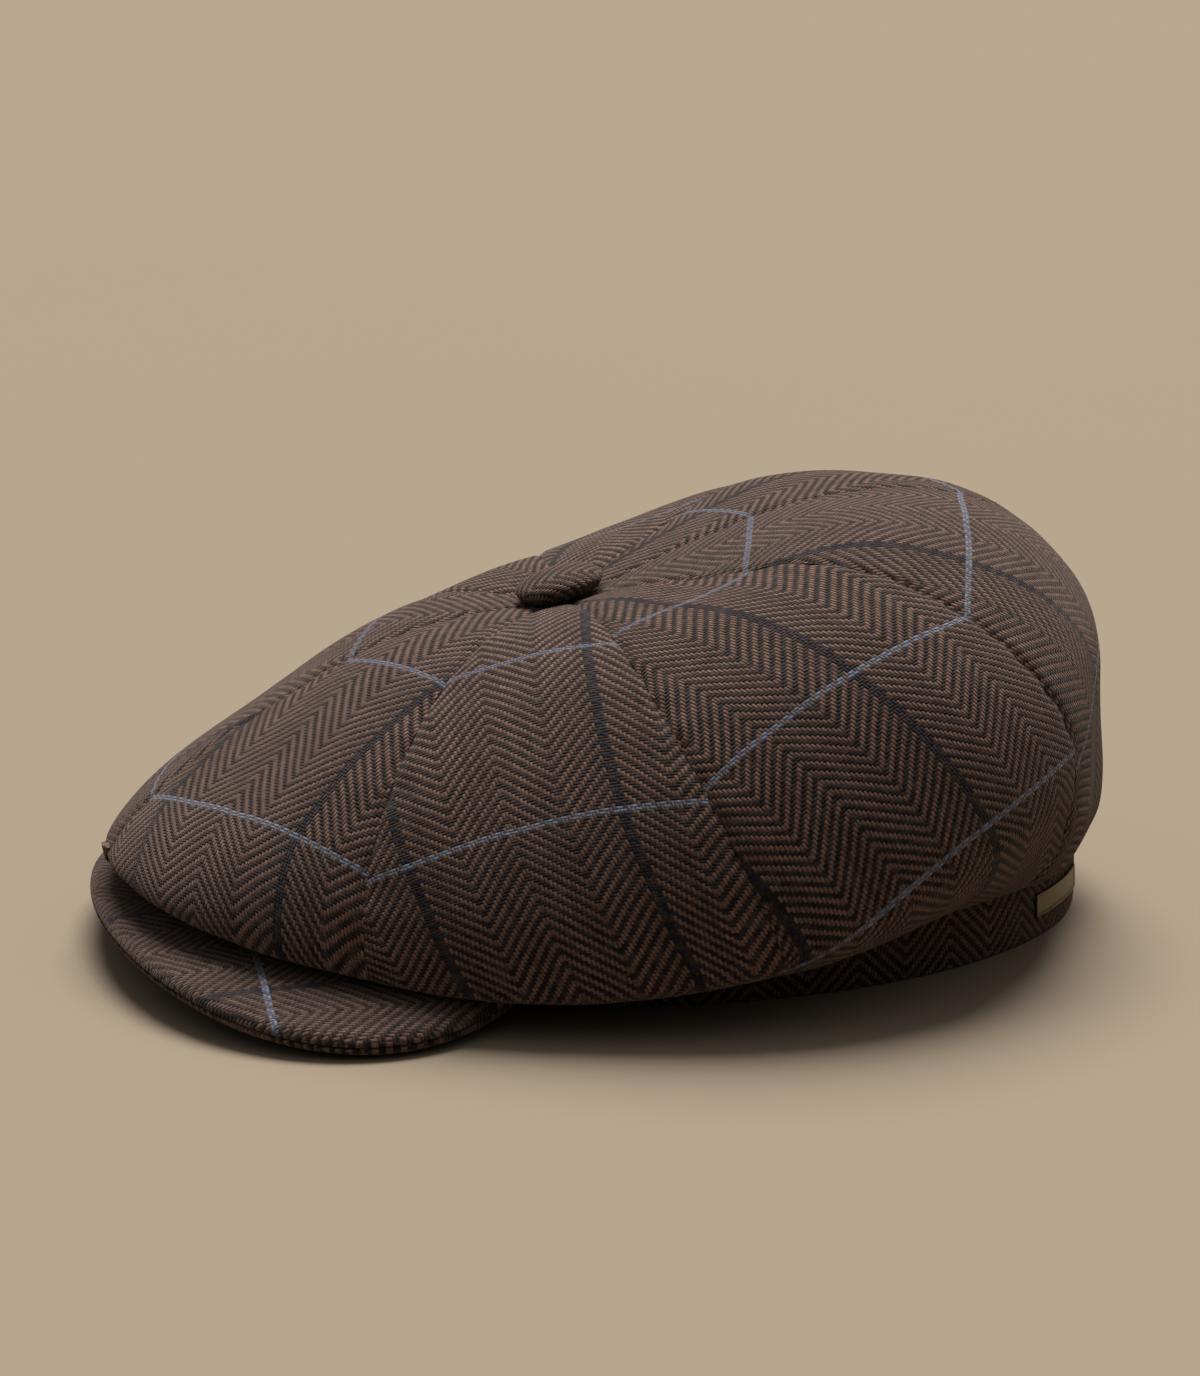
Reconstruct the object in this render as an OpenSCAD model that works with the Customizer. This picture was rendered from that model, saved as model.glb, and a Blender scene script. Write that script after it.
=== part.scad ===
// Newsboy cap: eight-panel crown, covered button, covered peak, band, sweatband and lining.
// +Z is up from the plane of the rim, -Y is the wearer's front and +X the wearer's left.
// The origin is the middle of the head opening, in the plane of the rim.

/* [Head opening] */
// Length of the head opening from front to back, inside the sweatband
opening_length = 200; // [185:1:240]
// Width of the head opening, inside the sweatband
opening_width = 162; // [135:1:195]
// Height of the outer band
band_height = 16; // [13:0.5:20]
// Height of the sweatband above the rim
sweatband_height = 32; // [26:1:40]

/* [Cloth] */
// Thickness of the wool cloth
cloth = 2; // [1.2:0.1:2.4]
// Thickness of the interlining inside the band
interlining = 0.8; // [0.4:0.1:1.2]
// Thickness of the sweatband
sweatband_skin = 1.2; // [0.8:0.1:2]
// Thickness of the lining
lining_skin = 0.6; // [0.4:0.1:1]
// Clearance between pieces that are sewn together
seam_gap = 0.15; // [0.1:0.05:0.3]

/* [Crown] */
// Height of the crown's cloth where the panels meet under the button
apex_height = 82; // [68:1:100]
// Distance of the button in front of the middle of the head opening
button_forward = 28; // [22:1:34]
// Distance that the crown stands out beyond the band at the front
front_overhang = 44; // [30:0.5:60]
// The same at the front corner, halfway between the front and the side
front_corner_overhang = 34.5; // [24:0.1:46]
// The same at the side
side_overhang = 30.8; // [24:0.1:46]
// The same at the rear corner
rear_corner_overhang = 26.8; // [18:0.1:36]
// The same at the back
back_overhang = 3.7; // [3:0.1:16]
// Height of the crown's outermost edge at the front
front_edge_height = 25; // [22:1:30]
// The same at the front corner
front_corner_edge_height = 16; // [14:1:20]
// The same at the side
side_edge_height = 15; // [13:1:20]
// The same at the rear corner
rear_corner_edge_height = 44; // [36:1:52]
// The same at the back
back_edge_height = 68; // [56:1:76]

/* [Peak] */
// Distance that the peak stands out beyond the band on each side
peak_overhang = 21; // [17:0.5:25]
// Distance from the peak's widest line forward to its tip
peak_forward = 60; // [54:1:70]
// Height of the peak's arch from its side edges to its middle
peak_rise = 10; // [8:0.5:10]
// Thickness of the stiffening board inside the peak
board = 2; // [1.6:0.1:2.4]
// Thickness of each cloth cover on the peak
peak_cloth = 1.4; // [1:0.1:1.5]
// Distance of the board's edge inside the peak's edge
board_inset = 3.5; // [2.5:0.5:5]

/* [Button] */
// Outer diameter of the covered button
button_diameter = 23; // [18:0.5:28]
// Height of the covered button
button_height = 6.5; // [5:0.5:8]
// Forward tilt of the button
button_tilt = 13; // [8:1:16]
// Clearance of the button's rim above the cloth at the hole
button_lift = 3.4; // [3:0.1:4.2]
// Diameter of the button's shank
shank_diameter = 2.4; // [2:0.1:4]

/* [Badge and labels] */
// Length of the metal badge along the band
badge_length = 30; // [20:1:36]
// Height of the badge
badge_height = 6; // [5:0.5:8]
// Thickness of the badge
badge_thickness = 0.8; // [0.5:0.1:1.2]
// Angle of the badge's middle round the oval, from the back
badge_angle = 30; // [20:1:40]
// Width of the care label
care_label_width = 24; // [16:1:34]
// Width of the size tab
size_tab_width = 12; // [8:1:18]

/* [Hidden] */

// The oval layers of the rim, from the inside out, as [half width, half length]
opening_half = [opening_width / 2, opening_length / 2];
sweatband_half = opening_half + [1, 1] * sweatband_skin;
interlining_in = sweatband_half + [1, 1] * seam_gap;
interlining_out = interlining_in + [1, 1] * interlining;
band_in = interlining_out + [1, 1] * seam_gap;
band_out = band_in + [1, 1] * cloth;
// Points on a whole oval
oval_steps = 96;
// The sweatband and its interlining stop short of the rim's fold
rim_fold = 1;

// Crown sizes as lists, from the front round to the back in steps of 45 degrees
overhangs = [
  front_overhang, front_corner_overhang, side_overhang, rear_corner_overhang, back_overhang
];
edge_heights = [
  front_edge_height, front_corner_edge_height, side_edge_height,
  rear_corner_edge_height, back_edge_height
];
// Crown curve values at the front, the side and the back
rises = [5, 22, 46];
fullnesses = [9, 36, 34];
swells = [0.44, 0.6, 0.66];
turn_drops = [3, 5, 18];
droops = [-1.6, 10, -6];
turn_in = 9;
// Share of a panel's length that lies on top of the crown, before it turns in to the band
top_share = 0.7;
// Angles of the four seams from the front, at the button and at the crown's edge
button_angles = [0, 45, 90, 135, 180];
edge_angles = [0, 53, 104, 146, 180];
// How late the seams drift: 1 is evenly, more is nearer the edge
seam_drift = 1.3;
panel_rows = 20;
panel_columns = 8;
// The hole left under the button has room for the shank
apex_hole = shank_diameter / 2 + 1.4;

// The lining hangs this far inside the crown's cloth, with room for the button's back
lining_drop = 5.5;
lining_ease = 0.3;
lining_tip_share = 0.42;
lining_depth = cloth + lining_drop;

peak_thickness = board + 2 * peak_cloth + 2 * seam_gap;
peak_foot = 0.5;
peak_root_angle = 61;
peak_edge_angle = 134;
peak_half_width = band_out[0] + peak_overhang;
// Distance of the peak's widest line behind the front of the band
peak_setback = 12.3;
peak_widest_y = peak_setback - band_out[1];
peak_columns = 36;

button_shell_skin = 0.6;
button_cloth = 1.4;
button_back_radius = 7;
button_back_skin = 1;
badge_rise = 9;
prong_width = 1.6;
prong_thickness = 0.5;
prong_inset = 4;
prong_fold = 0.3;
label_skin = 0.4;
label_top = sweatband_height - 3;
care_label_height = sweatband_height - 8;
size_tab_height = 14;
small_step = 0.5;

function sum(v, i = 0) = i < len(v) ? v[i] + sum(v, i + 1) : 0;

// A smooth value at angle a through five values set 45 degrees apart
function share(j) = j == 0 || j == 4 ? 0.5 : 1;
function wave(v, n) = share(n) * 0.5 * sum([for (j = [0 : 4]) share(j) * v[j] * cos(45 * n * j)]);
// Distances from the button's axis to the crown's outermost edge
reaches = [for (j = [0 : 4]) oval_reach(band_out, 45 * j) + overhangs[j]];
reach_waves = [for (n = [0 : 4]) wave(reaches, n)];
height_waves = [for (n = [0 : 4]) wave(edge_heights, n)];
function waved(w, a) = sum([for (n = [0 : 4]) w[n] * cos(n * a)]);
function reach(a) = waved(reach_waves, a);
function edge_height(a) = waved(height_waves, a);

// A smooth value at angle a through the front, side and back values
function around(v, a) =
  (v[0] + v[2] + 2 * v[1]) / 4 + (v[0] - v[2]) / 2 * cos(a) + (v[0] + v[2] - 2 * v[1]) / 4 * cos(2 * a);

function bezier(p, t) =
  pow(1 - t, 3) * p[0] + 3 * pow(1 - t, 2) * t * p[1] + 3 * (1 - t) * t * t * p[2] + pow(t, 3) * p[3];

// A point on an oval, at an angle from the front towards +X
function oval_point(half, a) = [half[0] * sin(a), -half[1] * cos(a)];

// Distance from the button's axis out to an oval round the opening, at angle a
function oval_reach(half, a) =
  let(
    x = sin(a) / half[0],
    y = -cos(a) / half[1],
    q = x * x + y * y,
    r = -button_forward * y / half[1],
    s = pow(button_forward / half[1], 2) - 1
  )
  (-r + sqrt(r * r - q * s)) / q;

function place(a, q) = [q[0] * sin(a), -button_forward - q[0] * cos(a), q[1]];

// The crown's outer surface: u runs from the button down to the band
function top_curve(a) =
  let(r = reach(a), h = edge_height(a))
  [
    [0, apex_height],
    [around(swells, a) * r, apex_height + around(rises, a)],
    [r, h + around(fullnesses, a)],
    [r, h]
  ];
function turn_curve(a) =
  let(r = reach(a), h = edge_height(a), b = oval_reach(band_out, a))
  [
    [r, h],
    [r, h - around(turn_drops, a)],
    [b + turn_in, band_height - around(droops, a)],
    [b + seam_gap, band_height + seam_gap]
  ];
function crown_point(a, u) =
  place(a, u < top_share
    ? bezier(top_curve(a), u / top_share)
    : bezier(turn_curve(a), (u - top_share) / (1 - top_share)));

// A unit normal of a surface, from its neighbours along and across
function normal(du, da) = cross(du, da) / norm(cross(du, da));
function crown_normal(a, u) =
  normal(
    crown_point(a, u + 0.004) - crown_point(a, u - 0.004),
    crown_point(a + small_step, u) - crown_point(a - small_step, u)
  );
function crown_inside(a, u) = crown_point(a, u) - cloth * crown_normal(a, min(u, 0.99));

// Angle of seam k at u: it leaves the button evenly and drifts back towards the crown's edge
function seam_angle(k, u) =
  button_angles[k] + (edge_angles[k] - button_angles[k]) * pow(min(1, u / top_share), seam_drift);
function panel_start(a) = top_share * apex_hole / (3 * around(swells, a) * reach(a));
// Angle across a panel, with half a seam's clearance on each side
function panel_angle(k, u, s) =
  let(
    a = seam_angle(k, u),
    b = seam_angle(k + 1, u),
    r = norm([crown_point(a, u)[0], crown_point(a, u)[1] + button_forward]),
    g = seam_gap / 2 / r * 180 / PI
  )
  a + g + (b - a - 2 * g) * s;
function panel_grid(k, inside) = [
  for (i = [0 : panel_rows]) [
    for (j = [0 : panel_columns])
      let(
        s = j / panel_columns,
        u0 = panel_start(button_angles[k] + 45 * s),
        u = u0 + (1 - u0) * i / panel_rows,
        a = panel_angle(k, u, s)
      )
      inside ? crown_inside(a, u) : crown_point(a, u)
  ]
];

// A closed plate between two grids of points, the first on its outer side
module plate(outer, inner) {
  rows = len(outer) - 1;
  columns = len(outer[0]) - 1;
  n = (rows + 1) * (columns + 1);
  function at(i, j) = i * (columns + 1) + j;
  skins = [
    for (i = [0 : rows - 1], j = [0 : columns - 1], f = [
      [at(i, j), at(i, j + 1), at(i + 1, j + 1)],
      [at(i, j), at(i + 1, j + 1), at(i + 1, j)],
      [n + at(i, j), n + at(i + 1, j + 1), n + at(i, j + 1)],
      [n + at(i, j), n + at(i + 1, j), n + at(i + 1, j + 1)]
    ]) f
  ];
  sides = [
    for (i = [0 : rows - 1], f = [
      [at(i, 0), at(i + 1, 0), n + at(i + 1, 0)],
      [at(i, 0), n + at(i + 1, 0), n + at(i, 0)],
      [at(i, columns), n + at(i, columns), n + at(i + 1, columns)],
      [at(i, columns), n + at(i + 1, columns), at(i + 1, columns)]
    ]) f
  ];
  ends = [
    for (j = [0 : columns - 1], f = [
      [at(0, j), n + at(0, j), n + at(0, j + 1)],
      [at(0, j), n + at(0, j + 1), at(0, j + 1)],
      [at(rows, j), at(rows, j + 1), n + at(rows, j + 1)],
      [at(rows, j), n + at(rows, j + 1), n + at(rows, j)]
    ]) f
  ];
  flat = [for (grid = [outer, inner], row = grid, p = row) p];
  polyhedron(flat, concat(skins, sides, ends));
}

module crown_panel(k) {
  color("saddlebrown") plate(panel_grid(k, false), panel_grid(k, true));
}
module crown_front_left() { crown_panel(0); }
module crown_side_front_left() { crown_panel(1); }
module crown_side_back_left() { crown_panel(2); }
module crown_back_left() { crown_panel(3); }
module crown_front_right() { mirror([1, 0, 0]) crown_panel(0); }
module crown_side_front_right() { mirror([1, 0, 0]) crown_panel(1); }
module crown_side_back_right() { mirror([1, 0, 0]) crown_panel(2); }
module crown_back_right() { mirror([1, 0, 0]) crown_panel(3); }

// The lining: v runs from the middle of the tip down to the top of the sweatband
function lining_curve(a, depth) =
  let(
    r = reach(a),
    h = edge_height(a),
    foot = oval_reach(opening_half, a) + sweatband_skin - (depth - lining_depth)
  )
  [
    [0, apex_height - depth],
    [around(swells, a) * r * 0.9, apex_height + around(rises, a) - depth],
    [foot + lining_ease * (r - foot), h + around(fullnesses, a) - depth],
    [foot, sweatband_height + seam_gap]
  ];
function lining_point(a, v, depth) = place(a, bezier(lining_curve(a, depth), v));
lining_in = lining_depth + lining_skin;

module lining_side() {
  rows = 8;
  columns = 24;
  start = lining_tip_share + 0.002;
  function grid(depth) = [
    for (i = [0 : rows]) [
      for (j = [0 : columns])
        let(g = 0.1, v = start + (1 - start) * i / rows)
        lining_point(g + (180 - 2 * g) * j / columns, v, depth)
    ]
  ];
  color("#4a3a2c") plate(grid(lining_depth), grid(lining_in));
}
module lining_side_left() { lining_side(); }
module lining_side_right() { mirror([1, 0, 0]) lining_side(); }

// The tip is one closed disc of cloth with a point in its middle
module lining_tip() {
  rings = 6;
  turns = 48;
  function ring(depth) = [
    for (i = [1 : rings], j = [0 : turns - 1])
      lining_point(360 * j / turns, lining_tip_share * i / rings, depth)
  ];
  n = rings * turns;
  function at(i, j) = i * turns + j % turns;
  skins = [
    for (i = [0 : rings - 2], j = [0 : turns - 1], f = [
      [at(i, j), at(i, j + 1), at(i + 1, j + 1)],
      [at(i, j), at(i + 1, j + 1), at(i + 1, j)],
      [n + at(i, j), n + at(i + 1, j + 1), n + at(i, j + 1)],
      [n + at(i, j), n + at(i + 1, j), n + at(i + 1, j + 1)]
    ]) f
  ];
  last = rings - 1;
  hems = [
    for (j = [0 : turns - 1], f = [
      [2 * n, at(0, j + 1), at(0, j)],
      [2 * n + 1, n + at(0, j), n + at(0, j + 1)],
      [at(last, j), at(last, j + 1), n + at(last, j + 1)],
      [at(last, j), n + at(last, j + 1), n + at(last, j)]
    ]) f
  ];
  middles = [place(0, [0, apex_height - lining_depth]), place(0, [0, apex_height - lining_in])];
  color("#4a3a2c") polyhedron(concat(ring(lining_depth), ring(lining_in), middles), concat(skins, hems));
}

// A flat-bottomed wall between two ovals, from one angle to another
module oval_wall(inner, outer, from, to, height) {
  whole = to - from >= 360;
  steps = ceil(oval_steps * (to - from) / 360);
  function arc(half, last) = [for (i = [0 : last]) oval_point(half, from + (to - from) * i / steps)];
  if (whole) {
    linear_extrude(height) difference() {
      polygon(arc(outer, steps - 1));
      polygon(arc(inner, steps - 1));
    }
  } else {
    ends = arc(inner, steps);
    linear_extrude(height)
      polygon(concat(arc(outer, steps), [for (i = [steps : -1 : 0]) ends[i]]));
  }
}

// Half the seam's clearance at centre front and back, as an angle
band_end = seam_gap / 2 / band_out[0] * 180 / PI;
module band_half_left() {
  color("saddlebrown") oval_wall(band_in, band_out, band_end, 180 - band_end, band_height);
}
module band_left() {
  difference() {
    band_half_left();
    prong_slots();
  }
}
module band_right() { mirror([1, 0, 0]) band_half_left(); }
module band_interlining() {
  difference() {
    color("beige") translate([0, 0, rim_fold])
      oval_wall(interlining_in, interlining_out, 0, 360, band_height - rim_fold);
    prong_slots();
  }
}
module sweatband() {
  color("#3b2d22") translate([0, 0, rim_fold])
    oval_wall(opening_half, sweatband_half, 0, 360, sweatband_height - rim_fold);
}

// The badge follows the band's outside, and two flat prongs hold it through the cloth
badge_middle = 180 - badge_angle;
function badge_turn(length) =
  length / norm([band_out[0] * cos(badge_middle), band_out[1] * sin(badge_middle)]) * 180 / PI;
prong_spread = badge_turn(badge_length / 2 - prong_inset);
badge_in = band_out + [1, 1] * seam_gap;
module at_prongs() {
  for (side = [-1, 1]) {
    a = badge_middle + side * prong_spread;
    p = oval_point(band_out, a);
    out = [sin(a) / band_out[0], -cos(a) / band_out[1]];
    translate([p[0], p[1], badge_rise]) rotate([0, 0, atan2(out[1], out[0])]) children();
  }
}
prong_reach = cloth + seam_gap + interlining;
module prong_slots() {
  depth = prong_reach + 2 * seam_gap;
  at_prongs() translate([-depth, -prong_width / 2 - seam_gap, -prong_thickness / 2 - seam_gap])
    cube([depth + 1, prong_width + 2 * seam_gap, prong_thickness + 2 * seam_gap]);
}
module side_badge() {
  half_turn = badge_turn(badge_length / 2);
  color("darkgoldenrod") {
    translate([0, 0, badge_rise - badge_height / 2])
      oval_wall(badge_in, badge_in + [1, 1] * badge_thickness,
        badge_middle - half_turn, badge_middle + half_turn, badge_height);
    at_prongs() translate([prong_fold - prong_reach, -prong_width / 2, -prong_thickness / 2])
      cube([prong_reach - prong_fold + seam_gap + badge_thickness / 2, prong_width, prong_thickness]);
  }
}

// The peak: s runs from corner to corner, r from the band out to the edge
function peak_root(s) = oval_point(band_out + [1, 1] * seam_gap, peak_root_angle * s);
function peak_edge(s) = [
  peak_half_width * sin(peak_edge_angle * s),
  peak_widest_y - peak_forward * cos(peak_edge_angle * s)
];
function peak_middle_height(p) =
  peak_foot + peak_thickness / 2 + peak_rise * (1 - pow(p[0] / peak_half_width, 2));
// A point at inset mm inside the edge, less where the peak narrows to its corners
function peak_inset(s, inset) =
  let(root = peak_root(s), edge = peak_edge(s), width = norm(edge - root))
  edge + (root - edge) * min(inset / width, 0.6 * inset / board_inset);
// A point at share r of the way from the band out to the board's edge
function peak_row(s, r) = peak_root(s) + (peak_inset(s, board_inset) - peak_root(s)) * r;
function raised(p, h) = [p[0], p[1], peak_middle_height(p) + h];
function peak_span(i) = -1 + 2 * i / peak_columns;
inner_rows = [0, 0.25, 0.5, 0.75, 1];
edge_insets = [2.4, 1.2, 0.4, 0];
half_board = board / 2 + seam_gap;
half_peak = peak_thickness / 2;
// Heights of the outer and inner faces above the peak's middle, at the rows near the edge
edge_outer = [half_peak, half_peak * 0.88, half_peak * 0.62, half_peak * 0.2];
module peak_cover(side) {
  function rows(outside) = concat(
    [for (r = inner_rows) [for (j = [0 : peak_columns])
      raised(peak_row(peak_span(j), r), side * (outside ? half_peak : half_board))]],
    [for (k = [0 : 3]) [for (j = [0 : peak_columns])
      raised(peak_inset(peak_span(j), edge_insets[k]), side * (outside ? edge_outer[k] : seam_gap / 2))]]
  );
  if (side > 0) plate(rows(true), rows(false));
  else plate(rows(false), rows(true));
}
module peak_top_cover() { color("saddlebrown") peak_cover(1); }
module peak_under_cover() { color("saddlebrown") peak_cover(-1); }
module peak_board() {
  rows = 4;
  trim = 0.004;
  function grid(side) = [
    for (i = [0 : rows]) [
      for (j = [0 : peak_columns])
        raised(peak_row(peak_span(j) * (1 - trim), i / rows * (1 - trim)), side * board / 2)
    ]
  ];
  color("black") plate(grid(1), grid(-1));
}

// The button sits in the dimple where the panels meet
module at_button() {
  translate([0, -button_forward, apex_height]) rotate([button_tilt, 0, 0]) children();
}
button_radius = button_diameter / 2;
// A dome's profile from its middle out to its rim
function dome(radius, height, low, from, to) = [
  for (i = [0 : 12])
    let(a = from + (to - from) * i / 12)
    [radius * cos(a), low + height * sin(a)]
];
module button_cover() {
  low = button_lift + button_height * 0.35;
  top = button_height * 0.65;
  turned = button_radius * 0.72;
  color("saddlebrown") at_button() rotate_extrude($fn = 64) polygon(concat(
    dome(button_radius, top, low, 90, 0),
    [[button_radius * 0.96, button_lift + 0.6], [turned, button_lift]],
    [[turned, button_lift + button_cloth * 0.7], [button_radius - button_cloth, low]],
    dome(button_radius - button_cloth, top - button_cloth, low, 0, 90)
  ));
}
shell_radius = button_radius - button_cloth - seam_gap;
module button_shell() {
  low = button_lift + button_height * 0.35 + seam_gap;
  top = button_height * 0.65 - button_cloth - 2 * seam_gap;
  color("silver") at_button() rotate_extrude($fn = 64) polygon(concat(
    dome(shell_radius, top, low, 90, 0),
    dome(shell_radius - button_shell_skin, top - button_shell_skin, low, 0, 90)
  ));
}
// The plate closes the shell from below, and its shank goes down through the hole to a washer
module button_back() {
  plate_low = button_lift + button_height * 0.35 - button_back_skin - seam_gap;
  foot = -cloth - button_back_skin - 1.2;
  plate_radius = button_radius * 0.72 - seam_gap;
  color("silver") at_button() rotate_extrude($fn = 64) polygon([
    [0, foot],
    [button_back_radius, foot],
    [button_back_radius, foot + button_back_skin],
    [shank_diameter / 2, foot + button_back_skin],
    [shank_diameter / 2, plate_low],
    [plate_radius, plate_low],
    [plate_radius, plate_low + button_back_skin],
    [0, plate_low + button_back_skin]
  ]);
}

// Labels hang flat against the inside of the sweatband, at an angle from the back
module on_sweatband(angle, width) {
  a = 180 - angle;
  p = oval_point(opening_half, a);
  out = [sin(a) / opening_half[0], -cos(a) / opening_half[1]];
  tight = pow(opening_half[0], 2) / opening_half[1];
  sag = pow(width / 2, 2) / 2 / tight;
  translate([p[0], p[1], label_top]) rotate([0, 0, atan2(out[1], out[0])])
    translate([-sag - seam_gap - label_skin, -width / 2, 0]) children();
}
module care_label() {
  color("white") on_sweatband(0, care_label_width) translate([0, 0, -care_label_height])
    cube([label_skin, care_label_width, care_label_height]);
}
size_tab_turn = (care_label_width + size_tab_width + 6) / 2 / opening_half[0] * 180 / PI;
module size_tab() {
  color("white") on_sweatband(size_tab_turn, size_tab_width) translate([0, 0, -size_tab_height])
    cube([label_skin, size_tab_width, size_tab_height]);
}

crown_front_left();
crown_side_front_left();
crown_side_back_left();
crown_back_left();
crown_front_right();
crown_side_front_right();
crown_side_back_right();
crown_back_right();
button_cover();
button_shell();
button_back();
peak_top_cover();
peak_board();
peak_under_cover();
band_left();
band_right();
band_interlining();
sweatband();
lining_tip();
lining_side_left();
lining_side_right();
side_badge();
care_label();
size_tab();
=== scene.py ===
# Newsboy cap: the soft pieces, finishes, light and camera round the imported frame.
# Lengths in the dictionaries are in millimetres and angles in degrees; mm turns them into metres.
import math

import bpy
import numpy as np
from mathutils import Matrix, Vector, noise


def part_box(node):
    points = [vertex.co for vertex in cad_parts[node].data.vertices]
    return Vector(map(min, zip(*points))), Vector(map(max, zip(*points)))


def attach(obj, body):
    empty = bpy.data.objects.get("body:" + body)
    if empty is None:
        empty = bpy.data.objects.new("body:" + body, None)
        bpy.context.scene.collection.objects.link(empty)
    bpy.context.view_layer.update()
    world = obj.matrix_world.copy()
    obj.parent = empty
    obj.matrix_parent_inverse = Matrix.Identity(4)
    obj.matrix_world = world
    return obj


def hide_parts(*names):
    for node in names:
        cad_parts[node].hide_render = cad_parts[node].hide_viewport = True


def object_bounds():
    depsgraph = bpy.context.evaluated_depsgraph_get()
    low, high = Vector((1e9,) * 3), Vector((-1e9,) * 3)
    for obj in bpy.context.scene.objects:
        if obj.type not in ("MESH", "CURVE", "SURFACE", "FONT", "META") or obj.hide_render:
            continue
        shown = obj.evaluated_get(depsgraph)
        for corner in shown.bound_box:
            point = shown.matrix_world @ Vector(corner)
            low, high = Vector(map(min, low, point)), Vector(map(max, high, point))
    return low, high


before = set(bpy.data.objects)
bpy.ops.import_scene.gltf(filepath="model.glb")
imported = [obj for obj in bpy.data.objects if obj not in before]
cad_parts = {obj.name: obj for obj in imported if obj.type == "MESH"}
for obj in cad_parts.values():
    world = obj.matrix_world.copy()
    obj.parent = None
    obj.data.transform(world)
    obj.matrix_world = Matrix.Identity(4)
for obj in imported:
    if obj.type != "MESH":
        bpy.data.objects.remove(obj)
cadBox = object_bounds()
scene = bpy.context.scene
mm = 0.001
print("cap: frame loaded")


# view and light
view = {
    "azimuth": 79.4, "elevation": 13.8, "roll": 1.3, "distance": 1100, "lens": 110, "sensor": 36,
    "aimAcross": -19, "aimUp": 57,
}
light = {
    "keyStrength": 6.75, "keySoftness": 40, "keyHeight": 60, "keyTurn": 250, "keyColor": (1, 0.965, 0.92),
    "skyTop": 0.5, "skySide": 0.02, "floorColor": (0.218, 0.176, 0.131), "floorSize": 14,
    "wallColor": (0.49, 0.381, 0.275),
}


def placeCamera():
    az, el = math.radians(view["azimuth"]), math.radians(view["elevation"])
    right = Vector((math.cos(az), math.sin(az), 0))
    back = Vector((math.sin(az) * math.cos(el), -math.cos(az) * math.cos(el), math.sin(el)))
    up = back.cross(right)
    aim = (right * view["aimAcross"] + up * view["aimUp"]) * mm
    data = bpy.data.cameras.new("capCamera")
    data.lens = view["lens"]
    data.sensor_width = view["sensor"]
    camera = bpy.data.objects.new("capCamera", data)
    scene.collection.objects.link(camera)
    facing = Matrix((right, up, back)).transposed().to_4x4()
    roll = Matrix.Rotation(math.radians(-view["roll"]), 4, "Z")
    camera.matrix_world = Matrix.Translation(aim + back * view["distance"] * mm) @ facing @ roll
    scene.camera = camera


def placeLight():
    data = bpy.data.lights.new("softOverhead", "SUN")
    data.energy = light["keyStrength"]
    data.angle = math.radians(light["keySoftness"])
    data.color = light["keyColor"]
    lamp = bpy.data.objects.new("softOverhead", data)
    scene.collection.objects.link(lamp)
    height, turn = math.radians(light["keyHeight"]), math.radians(light["keyTurn"])
    flat = math.cos(height)
    towards = Vector((math.sin(turn) * flat, -math.cos(turn) * flat, math.sin(height)))
    lamp.rotation_euler = towards.to_track_quat("Z", "Y").to_euler()

    world = bpy.data.worlds.new("studio")
    scene.world = world
    world.use_nodes = True
    nodes, links = world.node_tree.nodes, world.node_tree.links
    nodes.clear()
    out = nodes.new("ShaderNodeOutputWorld")
    shade = nodes.new("ShaderNodeBackground")
    ramp = nodes.new("ShaderNodeValToRGB")
    split = nodes.new("ShaderNodeSeparateXYZ")
    where = nodes.new("ShaderNodeTexCoord")
    side, top = light["skySide"], light["skyTop"]
    ramp.color_ramp.elements[0].color = (side, side * 0.96, side * 0.9, 1)
    ramp.color_ramp.elements[1].color = (top, top * 0.97, top * 0.92, 1)
    links.new(where.outputs["Generated"], split.inputs[0])
    links.new(split.outputs["Z"], ramp.inputs["Fac"])
    links.new(ramp.outputs["Color"], shade.inputs["Color"])
    # the view shows a pale wall; the light comes from the soft gradient above
    wall = nodes.new("ShaderNodeBackground")
    wall.inputs["Color"].default_value = (*light["wallColor"], 1)
    path = nodes.new("ShaderNodeLightPath")
    mix = nodes.new("ShaderNodeMixShader")
    links.new(path.outputs["Is Camera Ray"], mix.inputs[0])
    links.new(shade.outputs[0], mix.inputs[1])
    links.new(wall.outputs[0], mix.inputs[2])
    links.new(mix.outputs[0], out.inputs["Surface"])


scene.view_settings.view_transform = "Standard"
scene.view_settings.look = "None"
placeCamera()
placeLight()
print("cap: camera and light placed")


# helpers
def clearSelection():
    if bpy.context.mode != "OBJECT":
        bpy.ops.object.mode_set(mode="OBJECT")
    bpy.ops.object.select_all(action="DESELECT")


def activate(piece):
    clearSelection()
    piece.select_set(True)
    bpy.context.view_layer.objects.active = piece


def applyModifier(piece, kind, **values):
    activate(piece)
    modifier = piece.modifiers.new(kind.lower(), kind)
    for key, value in values.items():
        setattr(modifier, key, value)
    bpy.ops.object.modifier_apply(modifier=modifier.name)


def smoothByAngle(piece, degrees=50):
    activate(piece)
    bpy.ops.object.shade_smooth_by_angle(angle=math.radians(degrees))


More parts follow.
